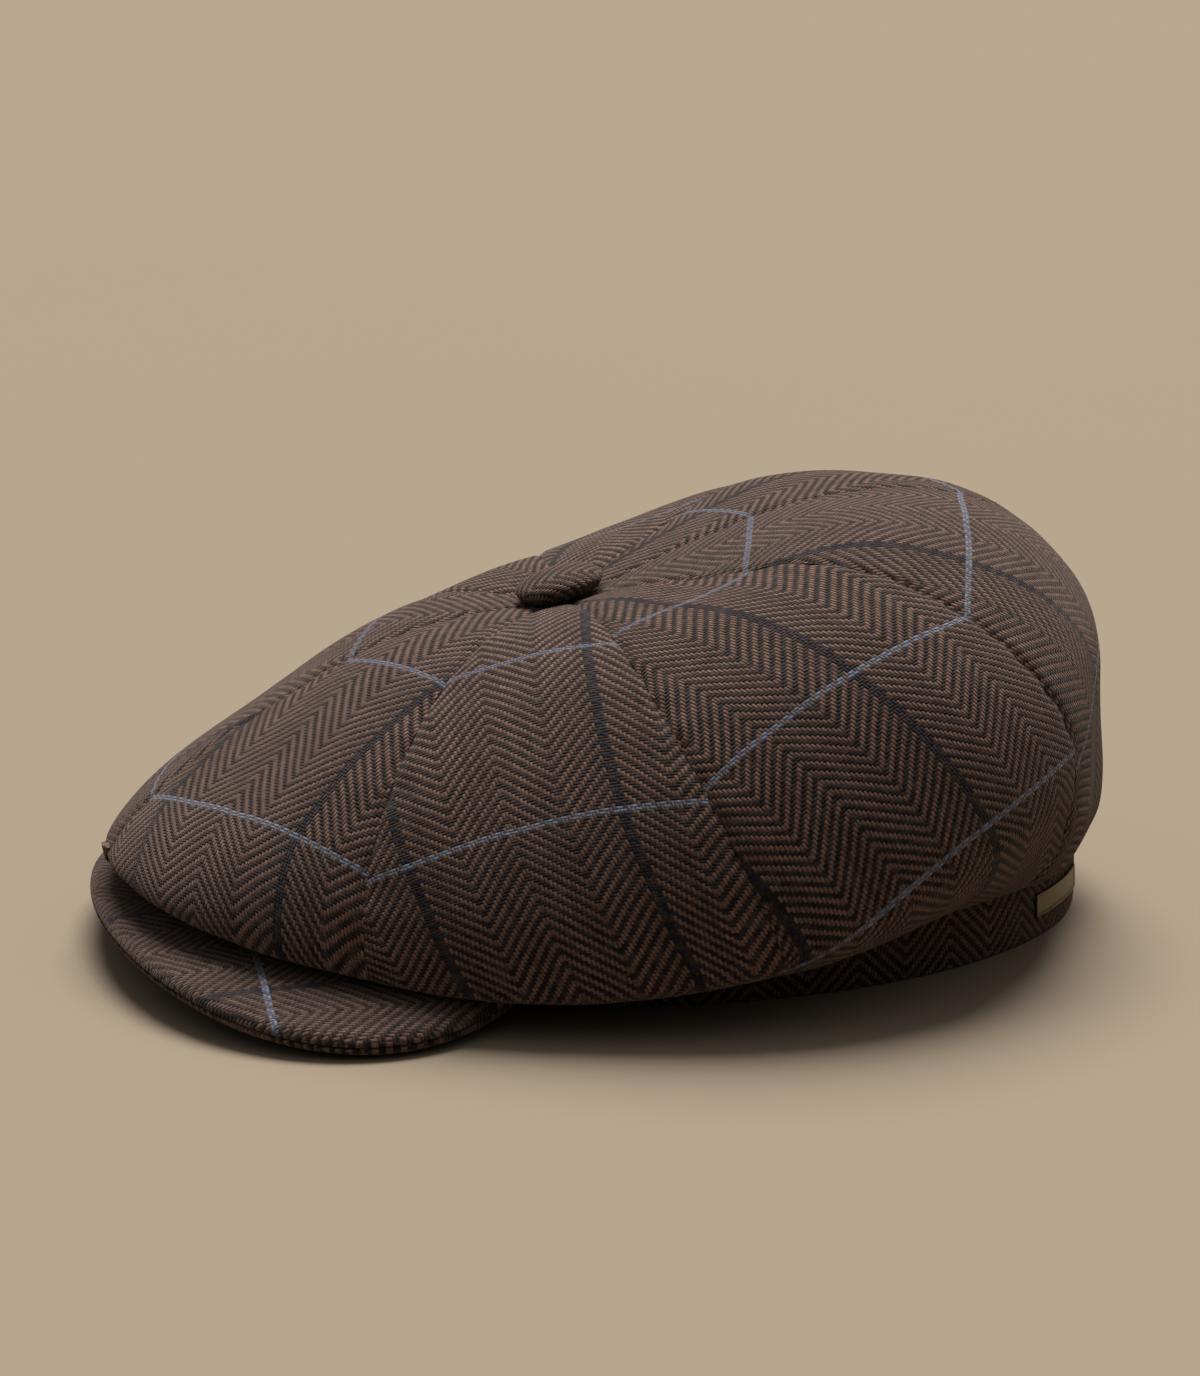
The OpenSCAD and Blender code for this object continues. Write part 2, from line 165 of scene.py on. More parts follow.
def gridPiece(name, points, cut, flip=False, close=False):
    rows, columns = points.shape[:2]
    faces = []
    for i in range(rows - 1):
        for j in range(columns - 1):
            corner = i * columns + j
            face = (corner, corner + columns, corner + columns + 1, corner + 1)
            faces.append(face[::-1] if flip else face)
    mesh = bpy.data.meshes.new(name)
    mesh.from_pydata((points.reshape(-1, 3) * mm).tolist(), [], faces)
    layer = mesh.uv_layers.new(name="cut")
    corners = np.empty(len(mesh.loops), dtype=np.int32)
    mesh.loops.foreach_get("vertex_index", corners)
    layer.data.foreach_set("uv", (cut.reshape(-1, 2)[corners] * mm).ravel())
    piece = bpy.data.objects.new(name, mesh)
    scene.collection.objects.link(piece)
    if close:
        activate(piece)
        bpy.ops.object.mode_set(mode="EDIT")
        bpy.ops.mesh.select_all(action="SELECT")
        bpy.ops.mesh.remove_doubles(threshold=0.00001)
        bpy.ops.object.mode_set(mode="OBJECT")
    return piece


def giveThickness(piece, thickness, offset=-1):
    applyModifier(
        piece, "SOLIDIFY", thickness=thickness * mm, offset=offset, use_even_offset=False, use_rim=True,
    )


def finishPiece(piece, material, slot, *nodes):
    piece.data.materials.clear()
    piece.data.materials.append(material)
    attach(piece, "root")
    if nodes:
        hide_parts(*nodes)
    return piece


# node helpers
def calc(tree, operation, a, b=None, c=None):
    node = tree.nodes.new("ShaderNodeMath")
    node.operation = operation
    for socket, value in zip(node.inputs, (a, b, c)):
        if value is None:
            continue
        if isinstance(value, (int, float)):
            socket.default_value = value
        else:
            tree.links.new(value, socket)
    return node.outputs[0]


def blendColor(tree, factor, a, b, mode="MIX"):
    node = tree.nodes.new("ShaderNodeMix")
    node.data_type = "RGBA"
    node.blend_type = mode
    for socket, value in ((node.inputs[0], factor), (node.inputs[6], a), (node.inputs[7], b)):
        if isinstance(value, (int, float)):
            socket.default_value = value
        elif isinstance(value, tuple):
            socket.default_value = (*value, 1)
        else:
            tree.links.new(value, socket)
    return node.outputs[2]


def noiseValue(tree, vector, scale, detail=2, roughness=0.5):
    node = tree.nodes.new("ShaderNodeTexNoise")
    node.inputs["Scale"].default_value = scale
    node.inputs["Detail"].default_value = detail
    node.inputs["Roughness"].default_value = roughness
    tree.links.new(vector, node.inputs["Vector"])
    return node.outputs["Fac"]


def newGroup(name, inputs, outputs):
    tree = bpy.data.node_groups.new(name, "ShaderNodeTree")
    for socketName, kind, value in inputs:
        kind = "NodeSocket" + kind
        socket = tree.interface.new_socket(name=socketName, in_out="INPUT", socket_type=kind)
        if value is not None:
            socket.default_value = value
    for socketName, kind in outputs:
        tree.interface.new_socket(name=socketName, in_out="OUTPUT", socket_type="NodeSocket" + kind)
    return tree, tree.nodes.new("NodeGroupInput").outputs, tree.nodes.new("NodeGroupOutput").inputs


def addGroup(tree, group, values):
    node = tree.nodes.new("ShaderNodeGroup")
    node.node_tree = group
    for key, value in values.items():
        if isinstance(value, (int, float)):
            node.inputs[key].default_value = value
        elif isinstance(value, tuple):
            node.inputs[key].default_value = (*value, 1)
        else:
            tree.links.new(value, node.inputs[key])
    return node.outputs


def herringboneGroup():
    tree, given, result = newGroup(
        "herringboneWeave",
        [("Cut", "Vector", None), ("Yarn", "Float", 0.00085), ("Column", "Float", 16.0),
         ("Check", "Float", 64.0), ("Wander", "Float", 0.0012)],
        [(word, "Float") for word in ("WarpUp", "Height", "WarpLine", "WeftLine", "Strand")],
    )
    split = tree.nodes.new("ShaderNodeSeparateXYZ")
    tree.links.new(given["Cut"], split.inputs[0])
    drift = tree.nodes.new("ShaderNodeTexNoise")
    drift.inputs["Scale"].default_value = 55
    drift.inputs["Detail"].default_value = 5
    drift.inputs["Roughness"].default_value = 0.62
    tree.links.new(given["Cut"], drift.inputs["Vector"])
    driftSplit = tree.nodes.new("ShaderNodeSeparateColor")
    tree.links.new(drift.outputs["Color"], driftSplit.inputs[0])

    def yarns(position, wander):
        strayed = calc(tree, "SUBTRACT", wander, 0.5)
        moved = calc(tree, "MULTIPLY_ADD", strayed, given["Wander"], position)
        return calc(tree, "DIVIDE", moved, given["Yarn"])

    x = yarns(split.outputs[0], driftSplit.outputs[0])
    y = yarns(split.outputs[1], driftSplit.outputs[1])
    warp, weft = calc(tree, "FLOOR", x), calc(tree, "FLOOR", y)
    inWarp, inWeft = calc(tree, "SUBTRACT", x, warp), calc(tree, "SUBTRACT", y, weft)
    column = calc(tree, "FLOOR", calc(tree, "DIVIDE", x, given["Column"]))
    odd = calc(tree, "FLOORED_MODULO", calc(tree, "ADD", column, 1), 2)
    way = calc(tree, "MULTIPLY_ADD", odd, -2, 1)
    step = calc(tree, "ADD", calc(tree, "MULTIPLY_ADD", weft, way, warp), calc(tree, "MULTIPLY", odd, 2))
    step = calc(tree, "FLOOR", calc(tree, "FLOORED_MODULO", calc(tree, "ADD", step, 0.5), 4))
    warpUp = calc(tree, "LESS_THAN", step, 1.5)
    # place along the float, from 0 to 1, for a warp float and a weft float
    halfUp = calc(tree, "ADD", inWeft, 0.5)
    onWarp = calc(tree, "MULTIPLY_ADD", calc(tree, "SUBTRACT", step, 0.5), way, halfUp)
    onWeft = calc(tree, "ADD", calc(tree, "SUBTRACT", step, 2), inWarp)
    along = calc(tree, "MULTIPLY_ADD", warpUp, calc(tree, "SUBTRACT", onWarp, onWeft), onWeft)
    across = calc(tree, "MULTIPLY_ADD", warpUp, calc(tree, "SUBTRACT", inWarp, inWeft), inWeft)
    along = calc(tree, "SUBTRACT", along, 1)
    across = calc(tree, "MULTIPLY_ADD", across, 2, -1)
    round1 = calc(tree, "MULTIPLY_ADD", calc(tree, "MULTIPLY", across, across), -0.8, 1)
    round2 = calc(tree, "MULTIPLY_ADD", calc(tree, "POWER", calc(tree, "ABSOLUTE", along), 3), -0.75, 1)
    tree.links.new(warpUp, result["WarpUp"])
    tree.links.new(calc(tree, "MULTIPLY", round1, round2), result["Height"])
    line = calc(tree, "FLOORED_MODULO", calc(tree, "ADD", warp, 1), given["Check"])
    tree.links.new(calc(tree, "LESS_THAN", line, 2.5), result["WarpLine"])
    line = calc(tree, "FLOORED_MODULO", calc(tree, "ADD", weft, 1), given["Check"])
    tree.links.new(calc(tree, "LESS_THAN", line, 1.5), result["WeftLine"])
    thread = calc(tree, "MULTIPLY_ADD", warpUp, calc(tree, "SUBTRACT", warp, weft), weft)
    dice = tree.nodes.new("ShaderNodeTexWhiteNoise")
    dice.noise_dimensions = "1D"
    tree.links.new(calc(tree, "MULTIPLY_ADD", warpUp, 517.3, thread), dice.inputs["W"])
    tree.links.new(dice.outputs["Value"], result["Strand"])
    return tree


def woolGroup():
    tree, given, result = newGroup(
        "woolFibre",
        [("Color", "Color", None), ("Place", "Vector", None), ("Haze", "Color", None),
         ("Amount", "Float", 1.0)],
        [("Color", "Color"), ("Fuzz", "Float")],
    )
    fine = noiseValue(tree, given["Place"], 1900, 3, 0.6)
    patch = noiseValue(tree, given["Place"], 70, 3, 0.55)
    speckle = calc(tree, "MULTIPLY", given["Amount"], 2.8)
    gain = calc(tree, "MULTIPLY_ADD", calc(tree, "SUBTRACT", fine, 0.5), speckle, 1)
    mottle = calc(tree, "MULTIPLY_ADD", calc(tree, "SUBTRACT", patch, 0.5), 0.5, 1)
    gain = calc(tree, "MULTIPLY", gain, mottle)
    grey = tree.nodes.new("ShaderNodeCombineColor")
    for k in range(3):
        tree.links.new(gain, grey.inputs[k])
    color = blendColor(tree, 1.0, given["Color"], grey.outputs[0], "MULTIPLY")
    # loose fibres lie over the weave in faint patches and lighten it
    veil = noiseValue(tree, given["Place"], 420, 4, 0.7)
    cover = calc(tree, "MULTIPLY", given["Amount"], 1.5)
    veil = calc(tree, "MULTIPLY", calc(tree, "SUBTRACT", veil, 0.45), cover)
    veil = calc(tree, "MINIMUM", calc(tree, "MAXIMUM", veil, 0), 0.35)
    color = blendColor(tree, veil, color, given["Haze"])
    # a few pale neps
    specks = tree.nodes.new("ShaderNodeTexVoronoi")
    specks.inputs["Scale"].default_value = 75
    tree.links.new(given["Place"], specks.inputs["Vector"])
    draw = tree.nodes.new("ShaderNodeSeparateColor")
    tree.links.new(specks.outputs["Color"], draw.inputs[0])
    rare = calc(tree, "GREATER_THAN", draw.outputs[0], 0.93)
    near = calc(tree, "LESS_THAN", specks.outputs["Distance"], 0.05)
    nep = calc(tree, "MULTIPLY", calc(tree, "MULTIPLY", rare, near), 0.75)
    color = blendColor(tree, nep, color, (0.46, 0.38, 0.26))
    tree.links.new(color, result["Color"])
    tree.links.new(fine, result["Fuzz"])
    return tree


def plainWeaveGroup():
    tree, given, result = newGroup(
        "plainWeave",
        [("Cut", "Vector", None), ("Yarn", "Float", 0.0004), ("Slant", "Float", 0.0)],
        [("Height", "Float"), ("Shade", "Float")],
    )
    split = tree.nodes.new("ShaderNodeSeparateXYZ")
    tree.links.new(given["Cut"], split.inputs[0])
    x = calc(tree, "DIVIDE", split.outputs[0], given["Yarn"])
    y = calc(tree, "DIVIDE", split.outputs[1], given["Yarn"])
    x = calc(tree, "MULTIPLY_ADD", y, given["Slant"], x)
    ridgeX = calc(tree, "ABSOLUTE", calc(tree, "SINE", calc(tree, "MULTIPLY", x, math.pi)))
    ridgeY = calc(tree, "ABSOLUTE", calc(tree, "SINE", calc(tree, "MULTIPLY", y, math.pi)))
    tree.links.new(calc(tree, "MULTIPLY", ridgeX, ridgeY), result["Height"])
    tree.links.new(noiseValue(tree, given["Cut"], 160, 4, 0.6), result["Shade"])
    return tree


herringboneWeave = herringboneGroup()
woolFibre = woolGroup()
plainWeave = plainWeaveGroup()


def newMaterial(name):
    material = bpy.data.materials.new(name)
    material.use_nodes = True
    return material, material.node_tree, material.node_tree.nodes["Principled BSDF"]


def bumpFrom(tree, shader, height, distance, strength=1.0):
    bump = tree.nodes.new("ShaderNodeBump")
    bump.inputs["Distance"].default_value = distance
    bump.inputs["Strength"].default_value = strength
    tree.links.new(height, bump.inputs["Height"])
    tree.links.new(bump.outputs[0], shader.inputs["Normal"])


def cutMap(tree):
    node = tree.nodes.new("ShaderNodeUVMap")
    node.uv_map = "cut"
    return node.outputs[0]


wool = {
    "check": 54.5,
    "tan": (0.11, 0.064, 0.049), "dark": (0.0105, 0.0064, 0.0055), "navy": (0.004, 0.005, 0.015),
    "blue": (0.105, 0.13, 0.19), "haze": (0.098, 0.064, 0.053), "sheen": 0.12, "sheenTint": (1, 0.84, 0.76),
}


def tweedMaterial(name, tanScale=1.0, checks=True):
    material, tree, shader = newMaterial(name)
    weave = addGroup(tree, herringboneWeave, {"Cut": cutMap(tree), "Yarn": wool["check"] * mm / 64})
    # the scale darkens the tan yarn of a whole piece; on the peak it is painted shade
    tan = tuple(channel * tanScale for channel in wool["tan"])
    warp, weft = tan, wool["dark"]
    if checks:
        warp = blendColor(tree, weave["WarpLine"], tan, wool["navy"])
        weft = blendColor(tree, weave["WeftLine"], wool["dark"], wool["blue"])
        warp = blendColor(tree, calc(tree, "MULTIPLY", weave["WeftLine"], 0.4), warp, wool["blue"])
    color = blendColor(tree, weave["WarpUp"], weft, warp)
    # painted shade: the colour darkens where the yarn height falls between floats, standing in for shade in
    # the gaps of the weave; the strand term gives each yarn its own tone
    yarnShadeAndTone = calc(tree, "MULTIPLY_ADD", weave["Height"], 0.6, 0.5)
    yarnShadeAndTone = calc(tree, "MULTIPLY", yarnShadeAndTone, calc(tree, "MULTIPLY_ADD", weave["Strand"], 0.5, 0.75))
    grey = tree.nodes.new("ShaderNodeCombineColor")
    for k in range(3):
        tree.links.new(yarnShadeAndTone, grey.inputs[k])
    color = blendColor(tree, 1.0, color, grey.outputs[0], "MULTIPLY")
    place = tree.nodes.new("ShaderNodeTexCoord").outputs["Object"]
    fibre = addGroup(tree, woolFibre, {"Color": color, "Place": place, "Haze": wool["haze"]})
    tree.links.new(fibre["Color"], shader.inputs["Base Color"])
    shader.inputs["Roughness"].default_value = 0.93
    shader.inputs["Specular IOR Level"].default_value = 0.15
    shader.inputs["Sheen Weight"].default_value = wool["sheen"]
    shader.inputs["Sheen Roughness"].default_value = 0.45
    shader.inputs["Sheen Tint"].default_value = (*wool["sheenTint"], 1)
    height = calc(tree, "MULTIPLY_ADD", fibre["Fuzz"], 0.5, weave["Height"])
    bumpFrom(tree, shader, height, 0.0004, 0.8)
    return material


def wovenMaterial(name, color, yarn, slant=0.0, roughness=0.8, sheen=0.2, contrast=0.35):
    material, tree, shader = newMaterial(name)
    weave = addGroup(tree, plainWeave, {"Cut": cutMap(tree), "Yarn": yarn, "Slant": slant})
    low = tuple(channel * (1 - contrast) for channel in color)
    shade = blendColor(tree, weave["Height"], low, color)
    aged = tuple(channel * 0.72 for channel in color)
    mixed = blendColor(tree, calc(tree, "MULTIPLY", weave["Shade"], 0.6), shade, aged)
    tree.links.new(mixed, shader.inputs["Base Color"])
    rough = calc(tree, "MULTIPLY_ADD", weave["Shade"], 0.2, roughness - 0.1)
    tree.links.new(rough, shader.inputs["Roughness"])
    shader.inputs["Sheen Weight"].default_value = sheen
    shader.inputs["Specular IOR Level"].default_value = 0.3
    bumpFrom(tree, shader, weave["Height"], 0.00015, 0.7)
    return material


def grainMaterial(name, color, metallic, roughness, scale, worn):
    material, tree, shader = newMaterial(name)
    place = tree.nodes.new("ShaderNodeTexCoord").outputs["Object"]
    rub = noiseValue(tree, place, scale, 6, 0.65)
    mixed = blendColor(tree, calc(tree, "MULTIPLY_ADD", rub, 1.6, -0.4), color, worn)
    tree.links.new(mixed, shader.inputs["Base Color"])
    tree.links.new(calc(tree, "MULTIPLY_ADD", rub, 0.3, roughness - 0.15), shader.inputs["Roughness"])
    shader.inputs["Metallic"].default_value = metallic
    bumpFrom(tree, shader, rub, 0.00008, 0.5)
    return material


tweed = tweedMaterial("herringboneTweed")
# painted shade: the peak's tweed is the crown tweed darkened to 0.75, standing in for the shade that falls
# on the peak under the crown's overhang
peakTweedPaintedShade = tweedMaterial("peakTweedPaintedShade", 0.75)
bandTweed = tweedMaterial("bandTweed", 0.9, False)
satin = wovenMaterial("liningSatin", (0.085, 0.055, 0.038), 0.00022, 0.5, 0.42, 0.1, 0.25)
twill = wovenMaterial("sweatbandTwill", (0.06, 0.046, 0.038), 0.0005, 1.0, 0.85, 0.25, 0.5)
canvas = wovenMaterial("interliningCanvas", (0.55, 0.5, 0.42), 0.0006, 0.0, 0.9, 0.1)
tape = wovenMaterial("labelTape", (0.62, 0.6, 0.55), 0.0003, 1.0, 0.6, 0.1, 0.2)
boardPlastic = grainMaterial("boardPlastic", (0.03, 0.03, 0.032), 0, 0.6, 300, (0.06, 0.06, 0.06))
stampedSteel = grainMaterial("stampedSteel", (0.55, 0.55, 0.55), 1, 0.35, 500, (0.4, 0.38, 0.36))
antiqueBrass = grainMaterial("antiqueBrass", (0.075, 0.06, 0.027), 1, 0.42, 420, (0.2, 0.155, 0.07))
thread = wovenMaterial("stitchThread", (0.09, 0.07, 0.055), 0.0003, 0.6, 0.7, 0.3)
print("cap: cloths and metals mixed")


# crown
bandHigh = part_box("band_left")[1]
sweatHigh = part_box("sweatband")[1]
rim = {
    "bandOut": (bandHigh[0] / mm, bandHigh[1] / mm), "bandTop": bandHigh[2] / mm,
    "sweatOut": (sweatHigh[0] / mm, sweatHigh[1] / mm), "sweatTop": sweatHigh[2] / mm, "sweatSkin": 1.2,
}
crown = {
    "buttonForward": 28, "apex": 82,
    "overhangs": [44, 34.5, 30.8, 26.8, 3.7], "edgeHeights": [25, 16, 15, 44, 68],
    "rises": [5, 22, 46], "fullnesses": [9, 36, 34], "swells": [0.44, 0.6, 0.66],
    "turnDrops": [3, 5, 18], "droops": [-1.6, 10, -6], "turnIn": 9, "topShare": 0.7,
    "buttonSeams": [0, 45, 90, 135, 180], "edgeSeams": [0, 53, 104, 146, 180], "seamDrift": 1.3,
    "rows": 120, "columns": 52, "cloth": 2, "hole": 2.6,
    "creaseDepth": 0.6, "creaseWidth": 1.3, "pucker": 0.22, "bulge": 0.6, "slack": 1.3, "ease": 0.12,
}


def ovalReach(half, a):
    forward = crown["buttonForward"]
    x, y = np.sin(a) / half[0], -np.cos(a) / half[1]
    q, r, s = x * x + y * y, -forward * y / half[1], (forward / half[1]) ** 2 - 1
    return (-r + np.sqrt(r * r - q * s)) / q


def waved(values, a):
    shares = [0.5, 1, 1, 1, 0.5]
    total = 0
    for n in range(5):
        weight = sum(shares[j] * values[j] * math.cos(math.pi / 4 * n * j) for j in range(5))
        total = total + shares[n] * 0.5 * weight * np.cos(n * a)
    return total


def around(v, a):
    front, side, back = v
    lean = (front - back) / 2 * np.cos(a)
    return (front + back + 2 * side) / 4 + lean + (front + back - 2 * side) / 4 * np.cos(2 * a)


def bezier(p, t):
    return (1 - t) ** 3 * p[0] + 3 * (1 - t) ** 2 * t * p[1] + 3 * (1 - t) * t * t * p[2] + t ** 3 * p[3]


reachValues = [
    float(ovalReach(rim["bandOut"], math.pi / 4 * j)) + crown["overhangs"][j] for j in range(5)
]


def crownPoint(a, u):
    r, h = waved(reachValues, a), waved(crown["edgeHeights"], a)
    b = ovalReach(rim["bandOut"], a)
    top = [
        (0 * a, crown["apex"] + 0 * a),
        (around(crown["swells"], a) * r, crown["apex"] + around(crown["rises"], a)),
        (r, h + around(crown["fullnesses"], a)),
        (r, h),
    ]
    turn = [
        (r, h),
        (r, h - around(crown["turnDrops"], a)),
        (b + crown["turnIn"], rim["bandTop"] - around(crown["droops"], a)),
        (b, rim["bandTop"] + 0 * a),
    ]
    share = crown["topShare"]
    t1, t2 = np.clip(u / share, 0, 1), np.clip((u - share) / (1 - share), 0, 1)
    onTop = u < share
    reach = np.where(onTop, bezier([p[0] for p in top], t1), bezier([p[0] for p in turn], t2))
    height = np.where(onTop, bezier([p[1] for p in top], t1), bezier([p[1] for p in turn], t2))
    return np.stack([reach * np.sin(a), -crown["buttonForward"] - reach * np.cos(a), height], axis=-1)


def seamAngle(k, u):
    blend = np.minimum(1, u / crown["topShare"]) ** crown["seamDrift"]
    start, end = crown["buttonSeams"][k], crown["edgeSeams"][k]
    return np.radians(start + (end - start) * blend)


def gridNormals(points):
    down = np.gradient(points, axis=0)
    across = np.gradient(points, axis=1)
    normal = np.cross(down, across)
    return normal / np.maximum(np.linalg.norm(normal, axis=-1, keepdims=True), 1e-9)


def softNoise(points, size, seed):
    flat = points.reshape(-1, 3) / size + seed
    return np.array([noise.noise(Vector(p)) for p in flat]).reshape(points.shape[:-1])


softSpots = [  # angle, share of the way down, reach and amount by which the cloth stands out or falls in
    (128, 0.34, 26, 2.4), (62, 0.25, 30, -1.4), (160, 0.7, 24, -2.2), (150, 0.89, 18, 3.0),
    (165, 0.45, 26, 0.5), (30, 0.18, 34, 2.8), (125, 0.14, 22, -2.8), (150, 0.24, 24, 2.8),
    (180, 0.8, 14, -1.4), (172, 0.91, 14, 1.5), (15, 0.37, 22, -1.6),
]


def stuffing(points):
    offset = np.zeros(points.shape[:-1])
    for angle, share, size, amount in softSpots:
        centre = crownPoint(np.radians(angle), np.float64(share))
        away = np.abs(points) * np.array([1, 0, 1]) + points * np.array([0, 1, 0]) - centre
        offset += amount * np.exp(-np.sum(away ** 2, axis=-1) / size ** 2)
    return offset


def grainOf(cut, anchor, turned, lean):
    u, v = cut[..., 0] - anchor[0], cut[..., 1] - anchor[1]
    below = np.maximum(0, v)
    u = u - lean * below
    v = v + crown["ease"] * below
    c, s = math.cos(math.radians(turned)), math.sin(math.radians(turned))
    return np.stack([u * c - v * s, u * s + v * c + 2 * wool["check"]], axis=-1)


def crownPanel(name, node, k, side, anchor, turned, lean):
    rows, columns = crown["rows"], crown["columns"]
    s = 0.5 - 0.5 * np.cos(np.pi * np.arange(columns + 1) / columns)
    i = np.arange(rows + 1) / rows
    start = 0.012
    u = (start + (1 - start) * i)[:, None] + 0 * s[None, :]
    a = seamAngle(k, u) + (seamAngle(k + 1, u) - seamAngle(k, u)) * s[None, :]
    points = crownPoint(a, u)
    # the flat cut: arc lengths down the middle and across each row
    down = i * (1 - start) + start
    middle = crownPoint((seamAngle(k, down) + seamAngle(k + 1, down)) / 2, down)
    fallen = np.cumsum(np.linalg.norm(np.diff(middle, axis=0), axis=1))
    length = np.concatenate([[crown["hole"]], crown["hole"] + fallen])
    stepAcross = np.linalg.norm(np.diff(points, axis=1), axis=2)
    across = np.concatenate([np.zeros((rows + 1, 1)), np.cumsum(stepAcross, axis=1)], axis=1)
    width = across[:, -1:]
    across = across - width / 2
    turn = across / length[:, None]
    cut = np.stack([length[:, None] * np.sin(turn), length[:, None] * np.cos(turn)], axis=-1)
    fromSeam = width / 2 - np.abs(across)
    # sewn seams sink into a fine crease, and the cloth between them stands full and a little uneven
    if side < 0:
        points = points * np.array([-1, 1, 1])
    normals = gridNormals(points) * side
    ramp = np.clip(length[:, None] / 40, 0, 1)
    sink = -crown["creaseDepth"] * np.exp(-((fromSeam / crown["creaseWidth"]) ** 2))
    sink = sink * np.clip(length[:, None] / 12, 0, 1)
    sink = sink * (1 - np.exp(-(((u - crown["topShare"] - 0.015) / 0.05) ** 2)))
    beat = 3 * np.sin(length[:, None] / 31 + k)
    wave = np.sin(length[:, None] / 13 * 2 * np.pi + beat) * crown["pucker"]
    pucker = wave * np.exp(-fromSeam / 7) * ramp
    bulge = crown["bulge"] * ramp * (1 - (2 * across / width) ** 2)
    slack = crown["slack"] * softNoise(points, 46, 3.1) + 0.4 * softNoise(points, 17, 8.7)
    slack = slack + stuffing(points)
    foot = np.clip((1 - u) / 0.08, 0, 1)
    points = points + normals * ((pucker + bulge + slack * ramp) * foot + sink)[..., None]
    piece = gridPiece(name, points, grainOf(cut, anchor, turned, lean), side < 0)
    giveThickness(piece, crown["cloth"])
    smoothByAngle(piece, 60)
    finishPiece(piece, tweed, "tweed", node)


# node, place from front to back, side, where two check lines cross on the cut, the cut's turn, and its
# lean below that crossing
panelCuts = {
    "crownFrontLeft": ("crown_front_left", 0, 1, (21.3, 108), 0, 0.33),
    "crownSideFrontLeft": ("crown_side_front_left", 1, 1, (20.3, 100.6), 8, 0.06),
    "crownSideBackLeft": ("crown_side_back_left", 2, 1, (3.5, 104.5), 6, 0),
    "crownBackLeft": ("crown_back_left", 3, 1, (-17.7, 106.2), 7, 0),
    "crownFrontRight": ("crown_front_right", 0, -1, (-31, 107), 3, 0.1),
    "crownSideFrontRight": ("crown_side_front_right", 1, -1, (24, 106), -4, 0.1),
    "crownSideBackRight": ("crown_side_back_right", 2, -1, (-15, 105), -3, 0),
    "crownBackRight": ("crown_back_right", 3, -1, (-2, 102), 2, 0),
}
for panelName, panelCut in panelCuts.items():
    crownPanel(panelName, *panelCut)
print("cap: crown sewn")


# rim: band, interlining, sweatband
def ovalPoints(half, angles):
    return np.stack([half[0] * np.sin(angles), -half[1] * np.cos(angles)], axis=-1)


def ovalStrip(name, material, slot, half, profile, start, end, steps, nodes, thickness=0, close=False):
    angles = np.radians(np.linspace(start, end, steps + 1))
    base = ovalPoints(half, angles)
    outward = np.stack([np.sin(angles) / half[0], -np.cos(angles) / half[1]], axis=-1)
    outward /= np.linalg.norm(outward, axis=1, keepdims=True)
    run = np.concatenate([[0], np.cumsum(np.linalg.norm(np.diff(base, axis=0), axis=1))])
    drop = np.concatenate([[0], np.cumsum(np.linalg.norm(np.diff(np.array(profile), axis=0), axis=1))])
    points, cut = [], []
    for (out, z), fall in zip(profile, drop):
        ring = base + outward * out
        points.append(np.concatenate([ring, np.full((len(ring), 1), z)], axis=1))
        cut.append(np.stack([run, np.full(len(run), -fall)], axis=-1))
    piece = gridPiece(name, np.array(points), np.array(cut), False, close)
    if thickness:
        giveThickness(piece, thickness)
    smoothByAngle(piece, 55)
    finishPiece(piece, material, slot, *nodes)
    flat = (float(run[-1]) * mm, float(drop[-1]) * mm)
    return piece, flat


band = {"roll": 1.1, "skin": 1.7, "tuck": 0.6, "seam": 0.04, "steps": 160}


def bandProfile(top, bottom, roll):
    steps = np.radians(np.linspace(0, 90, 6))
    outer = [(-0.2, top), (0.15, top - 1), (0.3, (top + bottom) / 2), (0.1, bottom + roll + 0.6)]
    outer += [(-roll + roll * math.cos(t), bottom + roll - roll * math.sin(t)) for t in steps]
    return outer


for bandName, bandNode, start, end in (
    ("bandLeft", "band_left", band["seam"], 180 - band["seam"]),
    ("bandRight", "band_right", 180 + band["seam"], 360 - band["seam"]),
):
    piece, flat = ovalStrip(
        bandName, bandTweed, "tweed", rim["bandOut"],
        bandProfile(rim["bandTop"] + band["tuck"], 0, band["roll"]), start, end, band["steps"], [bandNode],
        band["skin"],
    )

inner = (rim["sweatOut"][0] + 0.15, rim["sweatOut"][1] + 0.15)
piece, flat = ovalStrip(
    "bandInterlining", canvas, "interlining", (inner[0] + 0.8, inner[1] + 0.8),
    [(0, rim["bandTop"]), (0, 8), (0, 1)], 0, 360, 240, ["band_interlining"], 0.8, True,
)

# the sweatband is seen from inside, so it is drawn inside out and thickened outwards
sweat = {"skin": 1.2, "stitch": 2.6, "gap": 0.8, "lowRow": 4.2, "highRow": 28.6, "rowSink": -0.05}
opening = (rim["sweatOut"][0] - sweat["skin"], rim["sweatOut"][1] - sweat["skin"])
profile = [
    (sweat["skin"] - 0.1, 1.3), (0.4, 1.0), (0, 1.5), (0, 4), (-0.15, 16), (0, 29),
    (0.1, rim["sweatTop"] - 0.5), (0.6, rim["sweatTop"]),
]
piece, flat = ovalStrip(
    "sweatbandCloth", twill, "sweatband_cloth", opening, profile, 0, 360, 240, ["sweatband"], 0.9, True,
)


